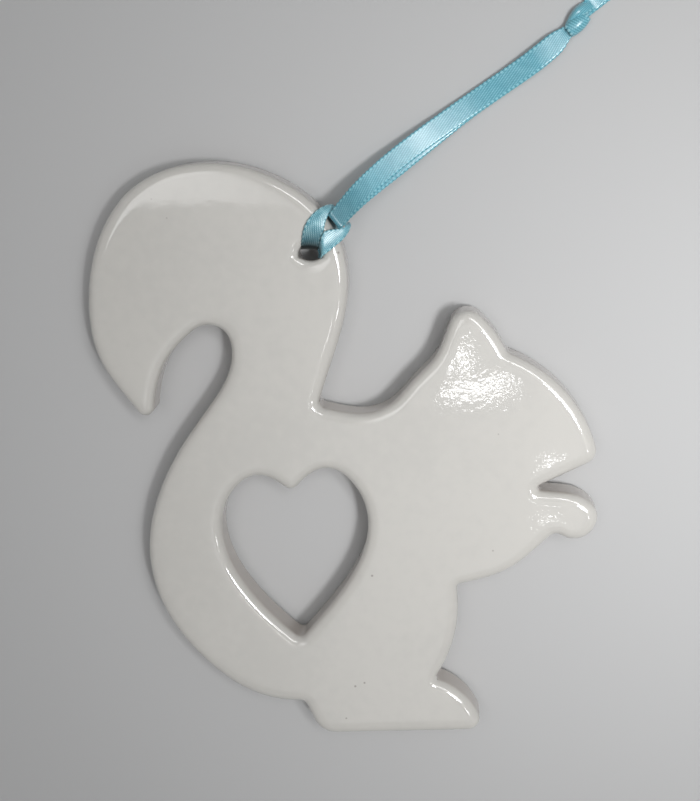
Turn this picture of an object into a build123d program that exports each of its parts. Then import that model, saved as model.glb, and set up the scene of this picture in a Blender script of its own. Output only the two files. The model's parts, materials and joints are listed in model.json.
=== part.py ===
"""Flat ceramic squirrel ornament with a heart window, hung on a narrow satin ribbon.

It lies on its back: X to the squirrel's front, Y to its head, Z out of the glazed front face.
The origin is under the middle of the slab. All sizes are in millimetres.
"""

import os
from math import asin, atan2, cos, degrees, hypot, radians, sin, tan

from build123d import *

# Whole figure, and the height that its outline below is drawn at
figure_height = 80.0
drawn_height = 80.0

# Slab
slab_thickness = 6.0
front_round = 1.2
back_round = 0.6
round_margin = 0.05

# Outline corners, clockwise from the notch behind the back, each with its own rounding
notch = (-3.65, 7.4)
ear_tip = (15.3, 22.0)
brow = (21.75, 15.1)
nose = (34.25, 0.75)
mouth = (25.3, -3.7)
wrist = (29.0, -9.43)
elbow = (15.4, -17.45)
ankle = (12.6, -31.4)
toe = (19.5, -38.8)
heel = (-3.3, -39.95)
rump = (-5.7, -35.05)
tail_tip = (-25.75, 2.85)
notch_round = 0.9
ear_round = 2.5
brow_round = 1.2
nose_round = 1.9
mouth_round = 0.4
wrist_round = 1.2
elbow_round = 0.6
ankle_round = 0.5
toe_round = 1.6
heel_round = 3.2
rump_round = 1.0
tail_tip_round = 1.25

# Points that the curved stretches pass through between those corners
back_curve = [(0.0, 6.68), (3.3, 6.65), (6.3, 8.0), (9.2, 11.2), (12.0, 14.3), (13.6, 17.9)]
ear_front = (19.4, 18.75)
face_curve = [(26.3, 12.85), (30.0, 9.55), (32.75, 5.4)]
paw_curve = [(29.1, -4.0), (32.2, -4.65), (34.4, -7.0), (33.2, -9.95), (30.9, -10.6)]
forearm_curve = [(26.8, -11.5), (23.1, -14.75), (18.6, -16.7)]
belly = (15.4, -24.4)
instep = (16.9, -33.8)
flank_curve = [(-13.8, -33.55), (-20.5, -28.4), (-25.4, -21.4), (-27.2, -12.9), (-25.45, -4.6)]
hook_curve = [(-21.7, 2.6), (-17.3, 8.9), (-15.3, 13.6), (-16.3, 17.7), (-18.8, 18.4), (-21.4, 16.8)]
hook_side = [(-23.8, 14.1), (-25.4, 10.4)]
tail_back = [(-29.9, 8.5), (-33.4, 14.0), (-34.5, 20.6), (-33.0, 29.6), (-28.3, 36.6), (-18.5, 40.0)]
tail_front = [(-7.8, 37.4), (-1.6, 31.8), (0.45, 24.2), (-1.0, 16.0)]

# Heart window
heart_cleft = (-7.15, -5.0)
heart_tip = (-6.1, -25.9)
heart_cleft_round = 1.25
heart_tip_round = 0.8
heart_left = [(-9.4, -3.1), (-11.8, -2.35), (-15.8, -5.2), (-16.9, -10.6), (-14.4, -17.2)]
heart_right = [(-5.3, -2.5), (-2.5, -1.2), (1.6, -3.9), (3.2, -8.8), (0.4, -17.4)]

# Hanging hole
hole_centre = (-4.5, 28.05)
hole_diameter = 3.2
hole_round = 0.9

# Ribbon
ribbon_width = 3.0
ribbon_thickness = 0.25
ribbon_angle = 39.0
ribbon_offset = 1.4
ribbon_clearance = 0.05
strand_gap = 0.1
floor_clearance = 0.1
bend_share = 0.45

# Girth hitch at the rim
fold_radius = 0.3
lip_margin = 0.2
swing_clearance = 0.15
leg_width = 0.9
leg_split = 1.7
leg_bulge_left = 1.0
leg_bulge_right = -0.2

# Route of the doubled ribbon past the hitch: distance from the fold, height above where it lies flat
ribbon_route = [(10.0, 3.5), (20.0, 1.15), (30.0, 0.05), (38.3, 0.0)]

# Overhand knot and the two cut ends beyond it
knot_length = 3.2
knot_height = 1.9
knot_taper = 0.9
knot_offset = 0.45
knot_lean = 12.0
end_length = 14.0
end_stagger = 2.0
end_turn_upper = 12.0
end_turn_lower = 4.0
end_cut = 30.0

# Levels and places that follow from the sizes above
drawing_scale = figure_height / drawn_height
hole_place = Vector(*hole_centre) * drawing_scale
pair_thickness = 2 * ribbon_thickness
slab_bottom = pair_thickness
slab_top = slab_bottom + slab_thickness
hole_radius = hole_diameter / 2
half_width = ribbon_width / 2
curl_outer = hole_radius - ribbon_clearance
curl_inner = curl_outer - pair_thickness
curl_half_angle = half_width / (curl_outer - ribbon_thickness)
leg_inner = half_width + swing_clearance
leg_outer = leg_inner + leg_width
fold_height = slab_top - fold_radius
lip_reach = fold_radius + pair_thickness + lip_margin
strand_shift = (ribbon_thickness + strand_gap) / 2
lying_level = floor_clearance + strand_shift + ribbon_thickness / 2
ribbon_place = Location(hole_place, (0, 0, ribbon_angle)) * Pos(Y=ribbon_offset)
on_edge = Rot(X=90)


def outline():
    """The slab's outline with its corners still sharp."""
    edges = [
        Spline(notch, *back_curve, ear_tip),
        ThreePointArc(ear_tip, ear_front, brow),
        Spline(brow, *face_curve, nose),
        Line(nose, mouth),
        Spline(mouth, *paw_curve, wrist),
        Spline(wrist, *forearm_curve, elbow),
        ThreePointArc(elbow, belly, ankle),
        ThreePointArc(ankle, instep, toe),
        Line(toe, heel),
        Line(heel, rump),
        Spline(rump, *flank_curve, *hook_curve, *hook_side, tail_tip),
        Spline(tail_tip, *tail_back, *tail_front, notch),
    ]
    return scale(make_face(edges), drawing_scale)


def round_corner(solid, corner, radius):
    """Round the upright edge that stands on one corner of an outline."""
    foot = Vector(*corner) * drawing_scale
    standing = solid.edges().filter_by(Axis.Z).sort_by_distance(foot)[0]
    return fillet(standing, radius)


def outward(radius):
    """A corner that points out of the clay is never tighter than the edge rounding that runs over it."""
    return max(radius, front_round + round_margin)


def heart_cutter():
    """The heart window as a solid that runs through the slab."""
    window = make_face([Spline(heart_cleft, *heart_left, heart_tip),
                        Spline(heart_cleft, *heart_right, heart_tip)])
    cutter = extrude(scale(window, drawing_scale), slab_thickness)
    cutter = round_corner(cutter, heart_cleft, outward(heart_cleft_round))
    return round_corner(cutter, heart_tip, heart_tip_round)


def make_plaque():
    """The ceramic slab: outline, window, hole and softened edges."""
    slab = extrude(outline(), slab_thickness)
    for corner, radius in [
        (notch, notch_round), (brow, brow_round), (mouth, mouth_round), (wrist, wrist_round),
        (elbow, elbow_round), (ankle, ankle_round), (rump, rump_round),
        (ear_tip, outward(ear_round)), (nose, outward(nose_round)), (toe, outward(toe_round)),
        (heel, outward(heel_round)), (tail_tip, outward(tail_tip_round)),
    ]:
        slab = round_corner(slab, corner, radius)
    slab -= heart_cutter()
    slab = fillet(slab.faces().sort_by(Axis.Z)[-1].edges(), front_round)
    slab = fillet(slab.faces().sort_by(Axis.Z)[0].edges(), back_round)
    slab -= Pos(hole_place) * Cylinder(hole_radius, 3 * slab_thickness)
    rims = slab.edges().filter_by(GeomType.CIRCLE).filter_by(lambda edge: edge.is_closed)
    slab = fillet(rims, hole_round)
    return Pos(Z=slab_bottom) * slab


def rim_distance():
    """How far the rim stands from the hole, along the ribbon, over the hitch's whole width."""
    slab = ribbon_place.inverse() * outline()
    reach = slab.bounding_box().max.X
    band = Pos(X=reach / 2) * Rectangle(reach, 2 * leg_outer)
    return (slab & band).bounding_box().max.X


def block(low, high):
    """A box between two opposite corners."""
    size = [b - a for a, b in zip(low, high)]
    return Pos(*low) * Box(*size, align=(Align.MIN, Align.MIN, Align.MIN))


def strip(path, thickness):
    """A ribbon's solid along a side-view path, in the plane of its run."""
    return on_edge * extrude(trace(path, thickness), half_width, both=True)


def curl_point(radius, angle):
    """A point of the curl in the hole, seen from above."""
    return Vector(radius * cos(angle), radius * sin(angle) - ribbon_offset)


def hitch_curl():
    """The pair of strands, curled along the wall of the hole on the rim's side."""
    half = curl_half_angle
    sides = [Line(curl_point(curl_inner, a), curl_point(curl_outer, a)) for a in (-half, half)]
    arcs = [ThreePointArc(curl_point(r, -half), curl_point(r, 0), curl_point(r, half))
            for r in (curl_inner, curl_outer)]
    return extrude(make_face(sides + arcs), slab_top + ribbon_thickness)


def hitch_leg(side, bulge):
    """One front leg of the bight, left (+1) or right (-1): out of the hole and over the rim."""
    start = curl_point(curl_outer, side * curl_half_angle)
    end = Vector(fold_x, side * leg_outer)
    across = Vector(start.Y - end.Y, end.X - start.X).normalized()
    outer_edge = ThreePointArc(start, (start + end) / 2 + across * side * bulge, end)
    inside = (fold_x, side * leg_inner)
    split = (hole_radius + leg_split, 0)
    root = curl_point(curl_outer - ribbon_thickness, 0)
    face = make_face([outer_edge, Polyline(end, inside, split, root, start)])
    leg = Pos(Z=slab_top) * extrude(face, ribbon_thickness)
    near, far = sorted((side * leg_inner, side * leg_outer))
    cheek = block((pair_x, near, fold_height - ribbon_width), (band_x, far, slab_top + ribbon_thickness))
    return leg + cheek


def make_hitch():
    """Girth hitch: the pair behind the slab, round its rim, and the bight that holds it there."""
    near, far = curl_inner, fold_x - fold_radius
    slant = [(near, -half_width - ribbon_offset), (far, -half_width),
             (far, half_width), (near, half_width - ribbon_offset)]
    behind = extrude(make_face(Polyline(*slant, close=True)), pair_thickness)
    rising = block((pair_x, -half_width, 0), (far, half_width, fold_height))
    band = block((band_x - ribbon_thickness, -leg_outer, fold_height - ribbon_width),
                 (band_x, leg_outer, fold_height))
    reach = Pos(fold_x, 0, fold_height) * on_edge * Cylinder(lip_reach, ribbon_width)
    lip = strip(fold_path + Line(fold_end, route[1]), pair_thickness) & reach
    legs = hitch_leg(1, leg_bulge_left) + hitch_leg(-1, leg_bulge_right)
    return hitch_curl() + behind + rising + band + lip + legs


def corner_radius(before, corner, after):
    """The largest easy bend at a corner of the route."""
    arriving = Vector(*corner) - Vector(*before)
    leaving = Vector(*after) - Vector(*corner)
    turn = radians(arriving.get_angle(leaving))
    return bend_share * min(arriving.length, leaving.length) / tan(turn / 2)


def make_strand(side):
    """One strand from the hitch to the knot, above (+1) or below (-1) the middle of the pair."""
    path = FilletPolyline(*route, radius=route_radii)
    strand = Pos(Z=side * strand_shift) * strip(path, ribbon_thickness)
    section = ribbon_width * ribbon_thickness
    print("strand volume over section times length", round(strand.volume / section / path.length, 4))
    swing = Cylinder(lip_reach + swing_clearance, ribbon_width)
    return strand - Pos(fold_x, 0, fold_height) * on_edge * swing


def make_knot():
    """The overhand knot: two rolls of ribbon side by side, cut square where the strands enter."""
    full_length = knot_length + 2 * knot_taper
    half = EllipticalCenterArc((0, 0), full_length / 2, knot_height / 2, arc_size=180)
    roll = revolve(make_face([half, Line(half @ 0, half @ 1)]), Axis.X)
    rolls = Pos(Y=knot_offset) * Rot(Z=knot_lean) * roll + Pos(Y=-knot_offset) * Rot(Z=-knot_lean) * roll
    knot = rolls & Box(knot_length, full_length, 2 * knot_height)
    return Pos(knot_start + knot_length / 2, 0, knot_height / 2) * knot


def make_end(side, length, turn):
    """One cut end beyond the knot, lying at the level of the strand that it continues."""
    far = length + ribbon_width * tan(radians(end_cut))
    corners = [(0, -half_width), (length, -half_width), (far, half_width), (0, half_width)]
    flat = extrude(make_face(Polyline(*corners, close=True)), ribbon_thickness)
    level = lying_level + side * strand_shift - ribbon_thickness / 2
    start = knot_start + knot_length + half_width * sin(radians(turn))
    return Pos(start, 0, level) * Rot(Z=turn) * flat


pair_x = rim_distance() + ribbon_clearance
fold_x = pair_x + pair_thickness + fold_radius
band_x = fold_x + ribbon_thickness / 2
knot_start = fold_x + ribbon_route[-1][0]

# The route leaves the fold along the tangent that meets its first point
middle_radius = fold_radius + ribbon_thickness
along, above = ribbon_route[0]
fall = fold_height - lying_level - above
slope = atan2(fall, along) + asin(middle_radius / hypot(fall, along))
fold_end = (fold_x + middle_radius * sin(slope), fold_height + middle_radius * cos(slope))
fold_path = CenterArc((fold_x, fold_height), middle_radius, 90 - degrees(slope), 90 + degrees(slope))
route = [fold_end] + [(fold_x + along, lying_level + above) for along, above in ribbon_route]
route_radii = [corner_radius(*route[i:i + 3]) for i in range(len(route) - 2)]
print("route radii", [round(r, 1) for r in route_radii])

plaque = make_plaque()

os.makedirs("parts", exist_ok=True)
centre = plaque.bounding_box().center()
to_origin = Pos(-centre.X, -centre.Y, 0)
export_step(to_origin * plaque, "parts/squirrel_plaque.step")
for name, piece in [
    ("ribbon_hitch", make_hitch()),
    ("ribbon_strand_upper", make_strand(1)),
    ("ribbon_strand_lower", make_strand(-1)),
    ("ribbon_knot", make_knot()),
    ("ribbon_tail_upper", make_end(1, end_length, end_turn_upper)),
    ("ribbon_tail_lower", make_end(-1, end_length - end_stagger, end_turn_lower)),
]:
    export_step(to_origin * ribbon_place * piece, f"parts/{name}.step")

hinge = to_origin * ribbon_place * Pos(fold_x, 0, fold_height)
print("fold axis at", hinge.position, "along", ribbon_angle - 90, "degrees")
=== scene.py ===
import json
from math import cos, pi, radians, sin

import bpy
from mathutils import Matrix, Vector


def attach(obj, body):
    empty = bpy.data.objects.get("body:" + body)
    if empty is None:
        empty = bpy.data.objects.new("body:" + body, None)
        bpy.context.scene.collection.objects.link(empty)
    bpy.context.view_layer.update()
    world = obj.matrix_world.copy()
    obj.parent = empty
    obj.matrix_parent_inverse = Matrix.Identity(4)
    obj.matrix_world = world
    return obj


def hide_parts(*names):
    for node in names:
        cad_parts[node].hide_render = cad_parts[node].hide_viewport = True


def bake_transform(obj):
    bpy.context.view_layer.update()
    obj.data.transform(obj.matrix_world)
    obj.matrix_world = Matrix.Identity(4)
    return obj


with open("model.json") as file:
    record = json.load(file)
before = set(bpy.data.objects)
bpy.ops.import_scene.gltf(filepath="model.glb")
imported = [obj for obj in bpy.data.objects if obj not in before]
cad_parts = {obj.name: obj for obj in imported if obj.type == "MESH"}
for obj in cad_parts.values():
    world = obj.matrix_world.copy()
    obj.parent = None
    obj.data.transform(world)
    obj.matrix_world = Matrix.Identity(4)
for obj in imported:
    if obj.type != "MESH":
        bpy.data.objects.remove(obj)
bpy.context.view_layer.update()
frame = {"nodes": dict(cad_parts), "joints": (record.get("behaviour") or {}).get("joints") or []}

mm = 0.001
print("frame loaded")


# camera: the photo's own view of the ornament from above, sizes in mm and degrees
cameraSet = {
    "place": (13.58, 55.70, 215.83), "turn": (-12.697, 3.489, 0.0), "lens": 71.91,
    "clipFrom": 5.0, "clipTo": 20000.0,
}

bpy.ops.object.select_all(action="DESELECT")
bpy.ops.object.camera_add(
    location=Vector(cameraSet["place"]) * mm, rotation=[radians(turn) for turn in cameraSet["turn"]])
camera = bpy.context.object
camera.name = "photoCamera"
camera.data.lens = cameraSet["lens"]
camera.data.clip_start = cameraSet["clipFrom"] * mm
camera.data.clip_end = cameraSet["clipTo"] * mm
bpy.context.scene.camera = camera
print("camera placed")


# small helpers that every piece uses
def setActive(piece):
    bpy.ops.object.select_all(action="DESELECT")
    piece.select_set(True)
    bpy.context.view_layer.objects.active = piece


def applyModifiers(piece):
    setActive(piece)
    for modifier in list(piece.modifiers):
        bpy.ops.object.modifier_apply(modifier=modifier.name)


def newMaterial(name):
    material = bpy.data.materials.new(name)
    material.use_nodes = True
    return material, material.node_tree, material.node_tree.nodes["Principled BSDF"]


def addNode(tree, kind, spot, **settings):
    node = tree.nodes.new(kind)
    node.location = spot
    for key, value in settings.items():
        setattr(node, key, value)
    return node


def feed(tree, socket, value):
    if isinstance(value, bpy.types.NodeSocket):
        tree.links.new(value, socket)
    else:
        socket.default_value = value


def addMath(tree, operation, spot, *values):
    node = addNode(tree, "ShaderNodeMath", spot, operation=operation)
    for socket, value in zip(node.inputs, values):
        feed(tree, socket, value)
    return node.outputs[0]


# a wave of -1 to 1 made into a level of 0 to 1
def addLevel(tree, spot, wave):
    return addMath(tree, "MULTIPLY_ADD", spot, wave, 0.5, 0.5)


def addRange(tree, spot, value, low, high, toLow=0.0, toHigh=1.0):
    node = addNode(tree, "ShaderNodeMapRange", spot, interpolation_type="SMOOTHSTEP")
    given = {"Value": value, "From Min": low, "From Max": high, "To Min": toLow, "To Max": toHigh}
    for socketName, entry in given.items():
        feed(tree, node.inputs[socketName], entry)
    return node.outputs["Result"]


def addNoise(tree, spot, vector, scale, detail):
    node = addNode(tree, "ShaderNodeTexNoise", spot)
    feed(tree, node.inputs["Vector"], vector)
    feed(tree, node.inputs["Scale"], scale)
    feed(tree, node.inputs["Detail"], detail)
    return node.outputs["Fac"]


def addBlend(tree, spot, share, first, second, kind="RGBA"):
    node = addNode(tree, "ShaderNodeMix", spot, data_type=kind)
    feed(tree, node.inputs["Factor"], share)
    feed(tree, node.inputs["A"], first)
    feed(tree, node.inputs["B"], second)
    return node.outputs["Result"]


def addBump(tree, spot, shader, height, distance):
    node = addNode(tree, "ShaderNodeBump", spot)
    feed(tree, node.inputs["Height"], height)
    feed(tree, node.inputs["Distance"], distance)
    tree.links.new(node.outputs["Normal"], shader.inputs["Normal"])
    return node.outputs["Normal"]


# the ribbon's own directions, from the fold that it swings about: along the run, to its left, up
joint = frame["joints"][0]
foldPlace = Vector(joint["pos_m"])
leftWay = -Vector(joint["axis"])
upWay = Vector((0, 0, 1))
runWay = leftWay.cross(upWay)


def ribbonPlace(along, left, height):
    place = foldPlace + (runWay * along + leftWay * left) * mm
    place.z = height * mm
    return place


# one smooth line led by the route's points, read back from its spline
def routeLine(points, steps):
    curve = bpy.data.curves.new("route", "CURVE")
    curve.dimensions = "3D"
    curve.resolution_u = steps
    spline = curve.splines.new("NURBS")
    spline.points.add(len(points) - 1)
    for point, place in zip(spline.points, points):
        point.co = (*place, 1)
    spline.order_u = 3  # quadratic, which keeps close to its points
    spline.use_endpoint_u = True
    holder = bpy.data.objects.new("route", curve)
    bpy.context.scene.collection.objects.link(holder)
    bpy.context.view_layer.update()
    line = bpy.data.meshes.new_from_object(holder)
    places = [vertex.co.copy() for vertex in line.vertices]
    bpy.data.objects.remove(holder)
    bpy.data.curves.remove(curve)
    bpy.data.meshes.remove(line)
    return places


def lineLength(line):
    return sum((b - a).length for a, b in zip(line, line[1:]))


# satin ribbon, in mm: what all its strips share
ribbonSet = {
    "width": 3.0, "thickness": 0.2, "columns": 12, "steps": 36, "picot": 0.65, "picotDepth": 0.05,
}
holeSet = {"place": (-5.575, -1.4), "spread": 62.0}  # along and left in mm, degrees round the bore
noShade = (0, 1, 0)


# painted shade at an end of a strip: full up to one length, gone at the next
def endShade(gone, full, clear, depth):
    return depth * min(max((clear - gone) / (clear - full), 0.0), 1.0)


# a station is a left edge, a middle and a right edge: the strip bends through all three
def layStrip(name, stations, startShade=noShade, lastShade=noShade):
    leftLine, middleLine, rightLine = (
        routeLine([ribbonPlace(*place) for place in side], ribbonSet["steps"]) for side in zip(*stations))
    columns, rows = ribbonSet["columns"], len(middleLine) - 1
    bpy.ops.object.select_all(action="DESELECT")
    bpy.ops.mesh.primitive_grid_add(x_subdivisions=columns, y_subdivisions=rows, size=1)
    strip = bpy.context.object
    strip.name = name
    half = ribbonSet["width"] / 2
    whole = lineLength(middleLine) / mm
    places, weaveAndShade, gone = [], [], 0.0
    for row, (leftEdge, middle, rightEdge) in enumerate(zip(leftLine, middleLine, rightLine)):
        if row:
            gone += (middle - middleLine[row - 1]).length / mm
        # painted shade for this row, kept as the third value of the vertex attribute beside the weave's
        # across and along
        shade = max(endShade(gone, *startShade), endShade(whole - gone, *lastShade))
        scallop = ribbonSet["picotDepth"] / half * sin(2 * pi * gone / ribbonSet["picot"])
        bend = (leftEdge + rightEdge) / 2 - middle
        for column in range(columns + 1):
            across = 2 * column / columns - 1
            reach = across * (1 + scallop) if abs(across) == 1 else across
            places += [*(middle + (rightEdge - leftEdge) * reach / 2 + bend * reach * reach)]
            weaveAndShade += [across * half, gone, shade]
    strip.data.vertices.foreach_set("co", places)
    strip.data.attributes.new("weaveAndShade", "FLOAT_VECTOR", "POINT").data.foreach_set("vector", weaveAndShade)
    strip.data.update()
    body = strip.modifiers.new("body", "SOLIDIFY")
    body.thickness = ribbonSet["thickness"] * mm
    body.offset = 0
    applyModifiers(strip)
    bpy.ops.object.shade_smooth()
    return strip, middleLine


# a flat station: the middle, half the width, the left edge's lift, and the slant of a cut end
def flat(along, left, height, half, lift=0.0, skew=0.0):
    leftEdge = (along + skew, left + half, height + lift)
    rightEdge = (along - skew, left - half, height - lift)
    return leftEdge, (along, left, height), rightEdge


# a station that lies curved against the bore of the hole
def holeStation(radius, height):
    along, left = holeSet["place"]
    spread = radians(holeSet["spread"])
    edge, reach = along + radius * cos(spread), radius * sin(spread)
    return (edge, left + reach, height), (along + radius, left, height), (edge, left - reach, height)


# two strands: in the hole, behind the slab, up its rim, over the fold, down to the knot and out to a cut end
upperSet = {
    "stations": [
        holeStation(1.42, 5.4), holeStation(1.42, 3.0), holeStation(1.42, 1.1),
        flat(-4.1, -1.38, 0.38, 1.25), flat(-3.2, -1.1, 0.37, 1.4), flat(-1.4, -0.3, 0.37, 1.42),
        flat(-0.28, 0.0, 0.37, 1.38), flat(-0.28, 0.0, 1.2, 1.38), flat(-0.28, 0.0, 3.6, 1.30),
        flat(-0.27, 0.05, 5.7, 1.22), flat(-0.28, 0.09, 7.06, 1.20), flat(0.8, 0.25, 6.66, 1.26),
        flat(2.0, 0.47, 6.20, 1.33), flat(5.0, 0.95, 5.02, 1.42), flat(10.0, 1.22, 3.40, 1.45, 0.02),
        flat(16.0, 1.02, 1.78, 1.45, 0.02), flat(22.0, 0.60, 0.98, 1.45, 0.02),
        flat(27.0, 0.20, 0.85, 1.45), flat(30.5, -0.08, 1.15, 1.45), flat(32.5, -0.18, 1.42, 1.45),
        flat(34.5, -0.21, 1.36, 1.45), flat(36.6, -0.14, 1.16, 1.40), flat(38.2, -0.02, 1.04, 0.84),
        flat(39.6, 0.15, 1.15, 0.62), flat(40.8, 0.4, 1.1, 0.68), flat(41.9, 0.72, 0.98, 0.86),
        flat(43.3, 0.95, 0.48, 1.12), flat(46.8, 1.55, 0.48, 1.42), flat(51.0, 2.3, 0.48, 1.45),
        flat(55.6, 3.05, 0.48, 1.45, 0.0, 0.9),
    ],
    # painted shade on the run just past the fold, a third dark at most
    "startShade": (18.0, 22.5, 0.33),
}
lowerSet = {
    "stations": [
        holeStation(1.17, 5.2), holeStation(1.17, 3.0), holeStation(1.17, 0.95),
        flat(-4.3, -1.38, 0.13, 1.25), flat(-3.2, -1.1, 0.13, 1.4), flat(-1.2, -0.3, 0.13, 1.42),
        flat(-0.02, 0.0, 0.13, 1.38), flat(-0.02, 0.0, 1.0, 1.38), flat(-0.02, 0.0, 3.6, 1.30),
        flat(-0.01, 0.0, 5.7, 1.20), flat(-0.02, 0.0, 6.64, 1.18), flat(0.22, 0.02, 6.70, 1.18),
        flat(1.0, 0.22, 6.36, 1.25), flat(1.9, 0.40, 5.97, 1.31), flat(5.0, 0.72, 4.76, 1.42),
        flat(10.0, 0.58, 3.12, 1.45, 0.05), flat(16.0, 0.55, 1.49, 1.45, 0.05), flat(22.0, 0.52, 0.70, 1.45),
        flat(27.0, 0.16, 0.56, 1.45), flat(30.5, -0.10, 0.86, 1.45), flat(32.5, -0.20, 1.13, 1.45),
        flat(34.5, -0.22, 1.07, 1.45), flat(36.6, -0.12, 0.87, 1.38), flat(38.2, 0.0, 0.73, 0.82),
        flat(39.6, 0.1, 0.85, 0.60), flat(40.8, 0.3, 0.78, 0.66), flat(41.9, 0.6, 0.62, 0.78),
        flat(43.3, 0.85, 0.22, 1.10), flat(46.8, 1.15, 0.22, 1.42), flat(50.0, 1.4, 0.22, 1.45),
        flat(53.6, 1.7, 0.22, 1.45, 0.0, 0.9),
    ],
    # painted shade on the run just past the fold, a third dark at most
    "startShade": (18.0, 22.5, 0.33),
}
upperStrand, upperLine = layStrip("ribbonUpper", **upperSet)
lowerStrand, lowerLine = layStrip("ribbonLower", **lowerSet)
print("strands laid")


# the bight: out of the hole as the left leg, over the rim, behind the pair, and back in as the right leg
bightSet = {
    "stations": [
        ((-6.20, -0.10, 0.9), (-5.35, -0.80, 0.9), (-4.55, -1.60, 0.9)),
        ((-6.25, -0.12, 2.4), (-5.42, -0.84, 2.4), (-4.60, -1.62, 2.4)),
        ((-6.25, -0.12, 4.2), (-5.40, -0.82, 3.9), (-4.58, -1.60, 4.1)),
        ((-6.00, 0.10, 5.7), (-5.10, -0.55, 5.4), (-4.35, -1.42, 5.6)),
        ((-5.3, 0.78, 6.68), (-4.3, 0.05, 6.55), (-3.5, -0.92, 6.60)),
        ((-4.0, 1.9, 6.82), (-2.95, 0.98, 7.02), (-1.98, 0.03, 6.85)),
        ((-2.6, 2.5, 6.75), (-2.0, 1.6, 6.98), (-1.39, 0.63, 6.90)),
        ((-1.25, 2.66, 6.48), (-1.0, 1.9, 6.74), (-0.75, 1.05, 6.70)),
        ((-0.1, 2.48, 6.0), (0.05, 1.95, 6.40), (0.05, 1.36, 6.45)),
        ((0.85, 1.95, 5.1), (0.65, 1.75, 5.7), (0.42, 1.42, 6.15)),
        ((0.75, 1.2, 3.9), (0.62, 1.1, 5.0), (0.5, 1.0, 6.05)),
        ((0.65, 0.0, 3.5), (0.58, 0.0, 4.8), (0.5, 0.0, 6.05)),
        ((0.75, -1.2, 3.9), (0.62, -1.1, 5.0), (0.5, -1.0, 6.05)),
        ((1.15, -1.5, 5.0), (0.9, -1.52, 5.7), (0.5, -1.42, 6.2)),
        ((0.6, -2.05, 5.95), (0.4, -1.72, 6.40), (0.17, -1.34, 6.50)),
        ((-0.75, -2.45, 6.50), (-0.65, -1.75, 6.72), (-0.5, -0.98, 6.72)),
        ((-1.9, -2.45, 6.82), (-1.55, -1.45, 7.0), (-1.17, -0.44, 6.95)),
        ((-3.05, -2.48, 7.05), (-2.6, -1.25, 7.28), (-2.05, 0.0, 7.20)),
        ((-4.05, -2.42, 7.10), (-3.5, -1.6, 7.40), (-3.05, -0.7, 7.28)),
        ((-4.95, -2.6, 5.9), (-4.45, -2.1, 5.9), (-4.15, -1.5, 5.7)),
        ((-5.6, -2.8, 3.4), (-4.64, -2.4, 3.4), (-4.14, -1.5, 3.4)),
    ],
    # painted shade: the left leg darkens nearly to black where it goes down the hole, the right leg where it
    # goes back in
    "startShade": (4.9, 8.6, 0.97), "lastShade": (2.4, 3.3, 0.9),
}
bight, bightLine = layStrip("ribbonHitch", **bightSet)
print("hitch laid,", round(lineLength(bightLine) / mm, 1), "mm of ribbon")


# the knot: one barrel of ribbon over the right side, and a fold on the left that runs on into the end
knotSet = {
    "axis": (0.0, 1.05), "pinchNear": 0.80, "pinchFar": 0.55, "near": 38.45, "far": 41.6,
    "turn": [
        (0.5, 0.9), (0.1, 0.14), (-0.9, 0.22), (-1.0, 1.6), (-0.15, 2.2), (0.85, 1.8), (0.9, 1.1), (0.5, 0.8),
    ],
    "fold": [
        ((38.7, 0.80, 0.8), (38.7, 0.70, 1.05), (38.7, 0.40, 1.1)),
        ((39.6, 1.28, 0.6), (39.6, 1.10, 1.50), (39.6, 0.55, 1.35)),
        ((40.5, 1.66, 0.5), (40.5, 1.40, 1.80), (40.5, 0.60, 1.45)),
        ((41.3, 1.80, 0.45), (41.3, 1.45, 1.75), (41.3, 0.40, 1.40)),
        ((42.0, 1.75, 0.45), (42.0, 1.20, 1.35), (42.0, 0.25, 1.05)),
        ((42.9, 1.60, 0.40), (42.9, 0.95, 0.66), (42.9, 0.20, 0.60)),
    ],
}


def pinched(left, height, share):
    axisLeft, axisHeight = knotSet["axis"]
    return axisLeft + (left - axisLeft) * share, axisHeight + (height - axisHeight) * share


def knotStation(left, height):
    near, far = knotSet["near"], knotSet["far"]
    nearEdge = (near, *pinched(left, height, knotSet["pinchNear"]))
    farEdge = (far, *pinched(left, height, knotSet["pinchFar"]))
    return nearEdge, ((near + far) / 2, left, height), farEdge


knot = layStrip("ribbonKnot", [knotStation(*spot) for spot in knotSet["turn"]])[0]
knotFold = layStrip("knotFold", knotSet["fold"])[0]
setActive(knot)
knotFold.select_set(True)
bpy.ops.object.join()
print("knot tied")


# aqua satin: dotted slanting rows of thread, and a stitched selvedge along both edges, sizes in mm; shadow is
# the black of its painted shade
satinSet = {
    "deep": (0.045, 0.22, 0.29, 1), "mid": (0.11, 0.40, 0.51, 1), "bright": (0.32, 0.70, 0.79, 1),
    "rowGap": 0.31, "rowSlant": 21.0, "rowDepth": 0.75, "dotGap": 0.24,
    "cloudScale": 0.9, "cloudDetail": 3.0, "cloudDepth": 0.8,
    "stitch": 0.65, "stitchFrom": -0.9, "stitchTo": 0.5, "hemLow": -0.25, "hemHigh": 0.65,
    "edgeFrom": 1.12, "edgeTo": 1.24, "shadow": (0, 0, 0, 1), "relief": 0.004,
    "roughness": 0.2, "specular": 0.95, "sheen": 0.1, "sheenRoughness": 0.4,
}
# the same satin with lighter colours painted in as highlight: on the hitch as the sparkle of its legs, and on
# the knot as its sheen
hitchPaintedSparkleSet = {
    **satinSet, "mid": (0.15, 0.46, 0.57, 1), "bright": (0.60, 0.90, 0.94, 1),
    "rowDepth": 1.1, "cloudDepth": 1.6, "relief": 0.007, "roughness": 0.3,
}
knotPaintedSheenSet = {
    **satinSet, "mid": (0.14, 0.45, 0.56, 1), "bright": (0.45, 0.80, 0.87, 1),
    "relief": 0.006, "roughness": 0.3,
}


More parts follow.
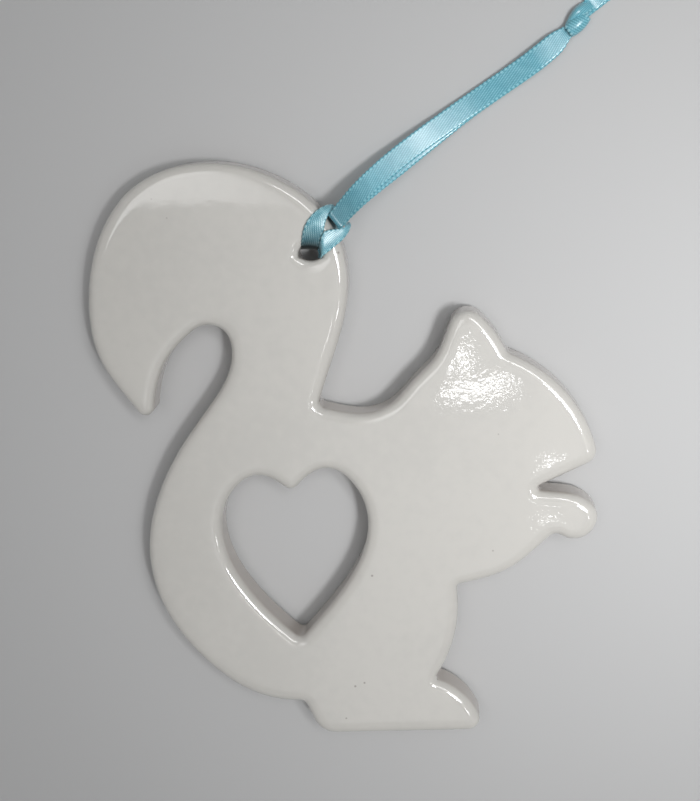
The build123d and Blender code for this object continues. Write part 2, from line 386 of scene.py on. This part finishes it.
def makeSatin(name, look):
    material, tree, shader = newMaterial(name)
    weaveAndShade = addNode(tree, "ShaderNodeAttribute", (-1800, 0), attribute_name="weaveAndShade").outputs["Vector"]
    split = addNode(tree, "ShaderNodeSeparateXYZ", (-1600, 0))
    feed(tree, split.inputs[0], weaveAndShade)
    across, along, shade = split.outputs

    # slanting rows, broken into dots, on slow clouds
    slant = radians(look["rowSlant"])
    shift = addMath(tree, "MULTIPLY", (-1400, 250), along, -sin(slant) * 2 * pi / look["rowGap"])
    climb = addMath(tree, "MULTIPLY", (-1400, 90), across, -cos(slant) * 2 * pi / look["rowGap"])
    rows = addMath(tree, "SINE", (-1060, 180), addMath(tree, "ADD", (-1230, 180), shift, climb))
    dotTurn = addMath(tree, "MULTIPLY", (-1230, 20), along, 2 * pi / look["dotGap"])
    dots = addLevel(tree, (-890, 20), addMath(tree, "SINE", (-1060, 20), dotTurn))
    dotted = addMath(tree, "MULTIPLY", (-720, 180), rows, dots)
    thread = addMath(tree, "MULTIPLY", (-550, 180), dotted, look["rowDepth"])
    noise = addNoise(tree, (-1060, -150), weaveAndShade, look["cloudScale"], look["cloudDetail"])
    clouds = addMath(tree, "SUBTRACT", (-890, -150), noise, 0.5)
    drift = addMath(tree, "MULTIPLY", (-720, -150), clouds, look["cloudDepth"])
    field = addMath(tree, "ADD", (-390, 100), thread, drift)

    # the selvedge takes over at both edges
    stitchTurn = addMath(tree, "MULTIPLY", (-890, -330), along, 2 * pi / look["stitch"])
    beat = addMath(tree, "SINE", (-720, -330), stitchTurn)
    hem = addRange(
        tree, (-550, -330), beat, look["stitchFrom"], look["stitchTo"], look["hemLow"], look["hemHigh"])
    offMiddle = addMath(tree, "ABSOLUTE", (-720, -600), across)
    rim = addRange(tree, (-550, -600), offMiddle, look["edgeFrom"], look["edgeTo"])
    pattern = addBlend(tree, (-220, 0), rim, field, hem, "FLOAT")
    level = addLevel(tree, (-50, 0), pattern)

    ramp = addNode(tree, "ShaderNodeValToRGB", (120, 200))
    ramp.color_ramp.elements[0].color = look["deep"]
    ramp.color_ramp.elements[1].color = look["bright"]
    ramp.color_ramp.elements.new(0.5).color = look["mid"]
    feed(tree, ramp.inputs["Fac"], level)
    # painted shade: the attribute's third value darkens the colour towards black
    shaded = addBlend(tree, (400, 300), shade, ramp.outputs["Color"], look["shadow"])
    feed(tree, shader.inputs["Base Color"], shaded)
    addBump(tree, (120, -220), shader, level, look["relief"] * mm)
    shader.inputs["Roughness"].default_value = look["roughness"]
    shader.inputs["Specular IOR Level"].default_value = look["specular"]
    shader.inputs["Sheen Weight"].default_value = look["sheen"]
    shader.inputs["Sheen Roughness"].default_value = look["sheenRoughness"]
    return material


laidSatin = makeSatin("aquaSatin", satinSet)
hitchPaintedSparkleSatin = makeSatin("aquaSatinHitchPaintedSparkle", hitchPaintedSparkleSet)
knotPaintedSheenSatin = makeSatin("aquaSatinKnotPaintedSheen", knotPaintedSheenSet)
satinPieces = ((upperStrand, laidSatin), (lowerStrand, laidSatin), (bight, hitchPaintedSparkleSatin), (knot, knotPaintedSheenSatin))
for piece, satin in satinPieces:
    piece.data.materials.clear()
    piece.data.materials.append(satin)
print("satin dyed")


# plaque: the slab of the frame, its edges rolled over by the glaze and its faces gently uneven, sizes in mm
plaqueSet = {
    "weld": 0.002, "voxel": 0.31, "soften": 3, "roll": 8,
    "waveSize": 11.0, "waveLayers": 1, "waveDepth": 0.016,
    "lip": 0.8, "lipReach": 1.6, "lipNear": 1.9, "lipFar": 3.6, "lipFoot": 1.0, "lipTop": 5.5,
}

slab = frame["nodes"]["squirrel_plaque"]
plaque = bpy.data.objects.new("glazedPlaque", slab.data.copy())
bpy.context.scene.collection.objects.link(plaque)
setActive(plaque)
bpy.ops.object.mode_set(mode="EDIT")
bpy.ops.mesh.select_all(action="SELECT")
bpy.ops.mesh.remove_doubles(threshold=plaqueSet["weld"] * mm)
bpy.ops.object.mode_set(mode="OBJECT")
skin = plaque.modifiers.new("skin", "REMESH")
skin.mode = "VOXEL"
skin.voxel_size = plaqueSet["voxel"] * mm
skin.use_smooth_shade = True
wrap = plaque.modifiers.new("wrap", "SHRINKWRAP")
wrap.target = slab
wrap.wrap_method = "NEAREST_SURFACEPOINT"
soften = plaque.modifiers.new("soften", "SMOOTH")
soften.iterations = plaqueSet["soften"]
roll = plaque.modifiers.new("roll", "SMOOTH")  # in height alone, so the outline stays
roll.iterations = plaqueSet["roll"]
roll.use_x = roll.use_y = False
waves = bpy.data.textures.new("glazeWaves", "CLOUDS")
waves.noise_scale = plaqueSet["waveSize"] * mm
waves.noise_depth = plaqueSet["waveLayers"]
uneven = plaque.modifiers.new("uneven", "DISPLACE")
uneven.texture = waves
uneven.texture_coords = "LOCAL"
uneven.strength = plaqueSet["waveDepth"] * mm
applyModifiers(plaque)


def ease(value, low, high):
    share = min(max((value - low) / (high - low), 0.0), 1.0)
    return share * share * (3 - 2 * share)


# the glaze has run to the lower lip of the hole, and narrows it towards the face
holePlace = ribbonPlace(*holeSet["place"], 0)
for vertex in plaque.data.vertices:
    away = (vertex.co - holePlace) / mm
    near = 1 - ease(away.xy.length, plaqueSet["lipNear"], plaqueSet["lipFar"])
    if near > 0 > away.y:
        raised = ease(away.z, plaqueSet["lipFoot"], plaqueSet["lipTop"])
        vertex.co.y += plaqueSet["lip"] * mm * near * raised * ease(-away.y, 0, plaqueSet["lipReach"])
plaque.data.update()
steep = [1 - abs(vertex.normal.z) for vertex in plaque.data.vertices]
plaque.data.attributes.new("steep", "FLOAT", "POINT").data.foreach_set("value", steep)
print("plaque rolled,", len(plaque.data.polygons), "faces")


# white glaze: a clear gloss over pale clay, warm and darker on the walls, partly clay where the glaze runs
# thinner and partly painted shade, more rippled on the head;
# its scales are per metre, and the ripple's reach is in mm
glazeSet = {
    "light": (0.66, 0.645, 0.61, 1), "grey": (0.63, 0.617, 0.585, 1),
    "cloudScale": 60.0, "cloudDetail": 4.0, "mottleScale": 650.0, "mottleDetail": 3.0,
    "mottleShare": 0.4, "greyBelow": 0.36, "lightAbove": 0.62,
    "clay": (0.47, 0.40, 0.355, 1), "clayShare": 0.6, "clayAndShadeFrom": 0.55, "clayAndShadeTo": 0.98,
    "speck": (0.20, 0.17, 0.15, 1), "speckScale": 250.0, "speckSize": 0.055, "speckCore": 0.4,
    "speckShare": 0.6,
    "rippleScale": 1300.0, "rippleDetail": 2.0, "rippleDepth": 0.006,
    "rippleFrom": -2.0, "rippleTo": 12.0, "rippleLeast": 0.3,
    "roughness": 0.35, "specular": 0.15, "coatIor": 1.65, "coatRoughness": 0.035,
}


def makeGlaze():
    material, tree, shader = newMaterial("whiteGlaze")
    spots = addNode(tree, "ShaderNodeTexCoord", (-1500, 0)).outputs["Object"]

    # soft clouds of two whites, and on the walls clay through the thinner glaze together with painted shade
    clouds = addNoise(tree, (-1250, 350), spots, glazeSet["cloudScale"], glazeSet["cloudDetail"])
    mottle = addNoise(tree, (-1250, 100), spots, glazeSet["mottleScale"], glazeSet["mottleDetail"])
    mottleShare = glazeSet["mottleShare"]
    cloudPart = addMath(tree, "MULTIPLY", (-1150, 420), clouds, 1 - mottleShare)
    mixed = addMath(tree, "MULTIPLY_ADD", (-1050, 250), mottle, mottleShare, cloudPart)
    whiteness = addRange(tree, (-880, 250), mixed, glazeSet["greyBelow"], glazeSet["lightAbove"])
    body = addBlend(tree, (-700, 300), whiteness, glazeSet["grey"], glazeSet["light"])
    # clay and painted shade: the steeper the face, the more of the darker warm colour
    steepness = addNode(tree, "ShaderNodeAttribute", (-1250, -120), attribute_name="steep").outputs["Fac"]
    clayAndShadeMask = addRange(
        tree, (-880, -50), steepness, glazeSet["clayAndShadeFrom"], glazeSet["clayAndShadeTo"], 0.0, glazeSet["clayShare"])
    walls = addBlend(tree, (-500, 200), clayAndShadeMask, body, glazeSet["clay"])

    # a few dark specks
    cells = addNode(tree, "ShaderNodeTexVoronoi", (-1250, -330))
    feed(tree, cells.inputs["Vector"], spots)
    feed(tree, cells.inputs["Scale"], glazeSet["speckScale"])
    speckEdge = glazeSet["speckSize"]
    speckCore = speckEdge * glazeSet["speckCore"]
    specks = addRange(
        tree, (-880, -330), cells.outputs["Distance"], speckCore, speckEdge, glazeSet["speckShare"], 0.0)
    speckled = addBlend(tree, (-300, 200), specks, walls, glazeSet["speck"])
    feed(tree, shader.inputs["Base Color"], speckled)

    # ripples that grow towards the head
    sides = addNode(tree, "ShaderNodeSeparateXYZ", (-1250, -620))
    feed(tree, sides.inputs[0], spots)
    amount = addRange(
        tree, (-880, -620), sides.outputs[0], glazeSet["rippleFrom"] * mm, glazeSet["rippleTo"] * mm,
        glazeSet["rippleLeast"], 1.0)
    grain = addNoise(tree, (-700, -480), spots, glazeSet["rippleScale"], glazeSet["rippleDetail"])
    ripple = addMath(tree, "MULTIPLY", (-500, -550), grain, amount)
    bumpy = addBump(tree, (-300, -450), shader, ripple, glazeSet["rippleDepth"] * mm)
    feed(tree, shader.inputs["Coat Normal"], bumpy)
    shader.inputs["Roughness"].default_value = glazeSet["roughness"]
    shader.inputs["Specular IOR Level"].default_value = glazeSet["specular"]
    shader.inputs["Coat Weight"].default_value = 1
    shader.inputs["Coat IOR"].default_value = glazeSet["coatIor"]
    shader.inputs["Coat Roughness"].default_value = glazeSet["coatRoughness"]
    return material


plaque.data.materials.clear()
plaque.data.materials.append(makeGlaze())
print("glaze fired")


# who rides on what, sizes in mm: the plaque and the hitch on the plaque, the knot on the hanging loop, and
# the strands stay where they lie
foldSet = {"from": -0.1, "to": 1.2, "height": 6.2, "exitHeight": 6.9}

foldStart = ribbonPlace(foldSet["from"], 0, foldSet["height"])
foldEnd = ribbonPlace(foldSet["to"], 0, foldSet["height"])
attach(plaque, "plaque")
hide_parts("squirrel_plaque")
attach(bight, "plaque")
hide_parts("ribbon_hitch")
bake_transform(upperStrand)
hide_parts("ribbon_strand_upper", "ribbon_tail_upper")
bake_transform(lowerStrand)
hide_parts("ribbon_strand_lower", "ribbon_tail_lower")
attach(knot, "hanging_loop")
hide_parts("ribbon_knot")

for strand, line in ((upperStrand, upperLine), (lowerStrand, lowerLine)):
    ribbonPlace(0, 0, foldSet["exitHeight"])
    print(strand.name, "is", round(lineLength(line) / mm, 1), "mm long")


# floor, two softboxes, lamps and sky, sizes in metres and degrees: each box fades out to one side,
# as its reflection does in the glaze
stageSet = {
    "floor": 6.0, "floorColour": (0.56, 0.562, 0.565, 1), "floorRoughness": 0.8, "sky": 0.24,
    "softbox": {
        "place": (-0.08, -0.264, 0.9), "size": (0.44, 0.412),
        "fadeFrom": -0.22, "fadeTo": 0.07, "strength": 0.8,
    },
    "tailBox": {
        "place": (-0.15, 0.154, 0.9), "size": (0.36, 0.42),
        "fadeFrom": 0.16, "fadeTo": -0.06, "strength": 2.6,
    },
    "windowLamp": {"place": (0.265, 0.215, 0.738), "size": (0.5, 0.1), "watts": 1.3},
    "neckPane": {"place": (0.275, -0.16, 0.66), "size": (0.05, 0.05), "watts": 0.11},
    "broadPane": {"place": (0.0345, -0.1600, 0.787), "size": (0.045, 0.007), "watts": 0.011},
    "smallPane": {"place": (0.0225, -0.1395, 0.787), "size": (0.009, 0.012), "watts": 0.005},
    "mouthPane": {"place": (0.0826, -0.208, 0.787), "size": (0.010, 0.004), "watts": 0.0022},
    "pawPane": {"place": (0.0818, -0.2478, 0.787), "size": (0.008, 0.004), "watts": 0.0018},
    "sideSpot": {
        "place": (0.26, 0.0, 0.66), "aim": (0.064, 0.012, 0.0),
        "cone": 17.0, "blend": 1.0, "soft": 0.07, "watts": 15.5,
    },
}
white, black = (1, 1, 1, 1), (0, 0, 0, 1)

bpy.ops.object.select_all(action="DESELECT")
bpy.ops.mesh.primitive_plane_add(size=stageSet["floor"])
floor = bpy.context.object
floor.name = "paleFloor"
floorMaterial, _, floorShader = newMaterial("palePaper")
floorShader.inputs["Base Color"].default_value = stageSet["floorColour"]
floorShader.inputs["Roughness"].default_value = stageSet["floorRoughness"]
floor.data.materials.append(floorMaterial)

for boxName in ("softbox", "tailBox"):
    boxSet = stageSet[boxName]
    bpy.ops.object.select_all(action="DESELECT")
    bpy.ops.mesh.primitive_plane_add(size=1, location=boxSet["place"])
    box = bpy.context.object
    box.name = boxName
    box.scale = (*boxSet["size"], 1)
    bpy.ops.object.transform_apply(location=False, rotation=False, scale=True)
    boxMaterial, boxTree, boxShader = newMaterial(boxName + "Glow")
    boxSpots = addNode(boxTree, "ShaderNodeTexCoord", (-800, 0)).outputs["Object"]
    boxSides = addNode(boxTree, "ShaderNodeSeparateXYZ", (-600, 0))
    feed(boxTree, boxSides.inputs[0], boxSpots)
    glow = addRange(
        boxTree, (-400, 0), boxSides.outputs[0], boxSet["fadeFrom"], boxSet["fadeTo"],
        0.0, boxSet["strength"])
    feed(boxTree, boxShader.inputs["Emission Strength"], glow)
    boxShader.inputs["Emission Color"].default_value = white
    boxShader.inputs["Base Color"].default_value = black
    box.data.materials.append(boxMaterial)

for lampName in ("windowLamp", "neckPane", "broadPane", "smallPane", "mouthPane", "pawPane"):
    lampSet = stageSet[lampName]
    bpy.ops.object.select_all(action="DESELECT")
    bpy.ops.object.light_add(type="AREA", location=lampSet["place"])
    lamp = bpy.context.object
    lamp.name = lampName
    lamp.data.shape = "RECTANGLE"
    lamp.data.size, lamp.data.size_y = lampSet["size"]
    lamp.data.energy = lampSet["watts"]
    lamp.rotation_euler = Vector(lampSet["place"]).to_track_quat("Z", "Y").to_euler()

# a soft spot from the right, whose light fades out across the figure
spotSet = stageSet["sideSpot"]
bpy.ops.object.select_all(action="DESELECT")
bpy.ops.object.light_add(type="SPOT", location=spotSet["place"])
spot = bpy.context.object
spot.name = "sideSpot"
spot.data.energy = spotSet["watts"]
spot.data.spot_size = radians(spotSet["cone"])
spot.data.spot_blend = spotSet["blend"]
spot.data.shadow_soft_size = spotSet["soft"]
spotWay = Vector(spotSet["place"]) - Vector(spotSet["aim"])
spot.rotation_euler = spotWay.to_track_quat("Z", "Y").to_euler()

sky = bpy.data.worlds.new("softSky")
sky.use_nodes = True
background = sky.node_tree.nodes["Background"]
background.inputs["Color"].default_value = white
background.inputs["Strength"].default_value = stageSet["sky"]
bpy.context.scene.world = sky
bpy.context.scene.view_settings.view_transform = "Standard"
print("stage lit")
